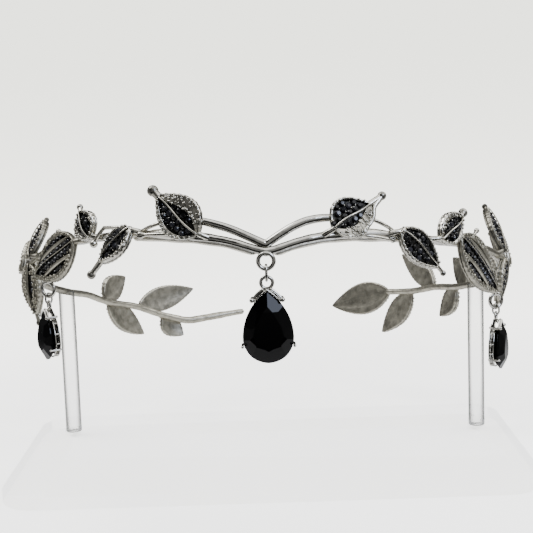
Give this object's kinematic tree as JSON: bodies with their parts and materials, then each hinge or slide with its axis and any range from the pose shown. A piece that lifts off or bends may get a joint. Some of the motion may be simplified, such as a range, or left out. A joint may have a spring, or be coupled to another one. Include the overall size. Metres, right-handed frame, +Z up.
{
  "type": "leaf circlet headband with pear drops on a clear stand",
  "caption": "Open-back dark silver leaf circlet with black paved leaves and hanging black pear drops, resting on a plain clear plate with posts.",
  "frame": {"origin": "on the surface that the stand rests on, under the middle of the whole's box", "axes": "+Z up, the front drop faces -Y, +X to the right as seen from the front"},
  "size_m": [0.164, 0.1834, 0.0973],
  "materials": {
    "dark_silver": "polished antique silver, darker in its hollows",
    "black_pave": "small faceted black crystals set close together",
    "black_crystal": "faceted jet black crystal",
    "clear_acrylic": "clear polished acrylic"
  },
  "bodies": {
    "stand_and_band": {"leaf_band": "dark_silver", "pave_left_1": "black_pave", "pave_left_2": "black_pave", "pave_left_3": "black_pave", "pave_left_4": "black_pave", "pave_left_5": "black_pave", "pave_left_6": "black_pave", "pave_left_7": "black_pave", "pave_left_8": "black_pave", "pave_left_9": "black_pave", "pave_left_10": "black_pave", "pave_left_11": "black_pave", "pave_left_12": "black_pave", "pave_right_1": "black_pave", "pave_right_2": "black_pave", "pave_right_3": "black_pave", "pave_right_4": "black_pave", "pave_right_5": "black_pave", "pave_right_6": "black_pave", "pave_right_7": "black_pave", "pave_right_8": "black_pave", "pave_right_9": "black_pave", "pave_right_10": "black_pave", "pave_right_11": "black_pave", "pave_right_12": "black_pave", "pave_right_13": "black_pave", "stand_base": "clear_acrylic", "stand_post_left": "clear_acrylic", "stand_post_right": "clear_acrylic"},
    "front_link": {"front_link": "dark_silver"},
    "front_drop": {"front_setting": "dark_silver", "front_stone": "black_crystal"},
    "left_link": {"left_link": "dark_silver"},
    "left_drop": {"left_setting": "dark_silver", "left_stone": "black_crystal"},
    "right_link": {"right_link": "dark_silver"},
    "right_drop": {"right_setting": "dark_silver", "right_stone": "black_crystal"}
  },
  "joints": [
    {"name": "front_link_swing", "type": "hinge", "parent": "stand_and_band", "child": "front_link", "pos_m": [0.0005, -0.08759, 0.07588], "axis": [1, 0, 0], "range_deg": [-70, 70]},
    {"name": "front_drop_sway", "type": "hinge", "parent": "front_link", "child": "front_drop", "pos_m": [0.0005, -0.08759, 0.07295], "axis": [0, 1, 0], "range_deg": [-60, 60]},
    {"name": "left_link_swing", "type": "hinge", "parent": "stand_and_band", "child": "left_link", "pos_m": [-0.06055, -0.05651, 0.06575], "axis": [0.9063, -0.4226, 0], "range_deg": [-60, 25]},
    {"name": "left_drop_sway", "type": "hinge", "parent": "left_link", "child": "left_drop", "pos_m": [-0.06055, -0.05651, 0.06369], "axis": [0.6947, 0.7193, 0], "range_deg": [-40, 40]},
    {"name": "right_link_swing", "type": "hinge", "parent": "stand_and_band", "child": "right_link", "pos_m": [0.06595, -0.04894, 0.05706], "axis": [0.9063, 0.4226, 0], "range_deg": [-60, 25]},
    {"name": "right_drop_sway", "type": "hinge", "parent": "right_link", "child": "right_drop", "pos_m": [0.06595, -0.04894, 0.055], "axis": [0.7193, -0.6947, 0], "range_deg": [-40, 40]}
  ]
}
